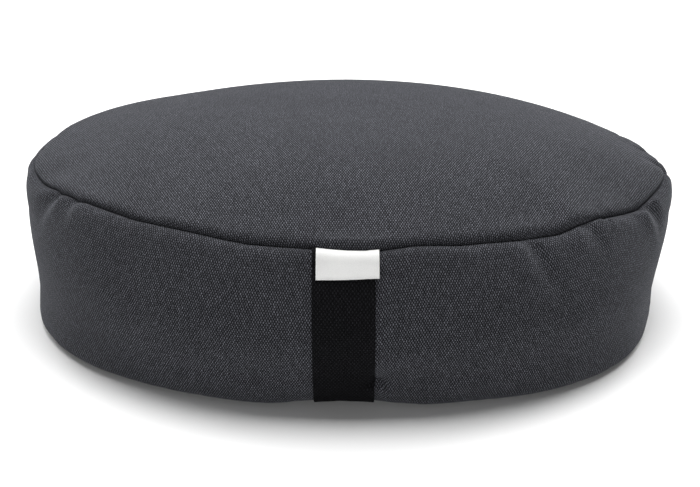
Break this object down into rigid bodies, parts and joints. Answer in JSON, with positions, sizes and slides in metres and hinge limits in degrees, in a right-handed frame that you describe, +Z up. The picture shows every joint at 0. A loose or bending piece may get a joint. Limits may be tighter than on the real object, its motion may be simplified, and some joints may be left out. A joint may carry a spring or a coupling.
{
  "type": "oval zafu meditation cushion",
  "caption": "Oval floor cushion with a crowned top, a tall bulging side band, a flat webbing carry strap down the front and a bare label.",
  "frame": {"origin": "the point of the resting face under the middle of the cushion", "axes": "+Z up, +X to the right along the long way of the oval, the strap on the -Y side"},
  "size_m": [0.456, 0.3488, 0.14],
  "materials": {
    "canvas": "heathered charcoal plain-weave canvas, matt",
    "webbing": "black ribbed webbing, faint sheen",
    "label": "white satin ribbon, bare"
  },
  "bodies": {
    "root": {"cushion_body": "canvas", "carry_strap": "webbing", "label_tab": "label"}
  },
  "joints": []
}
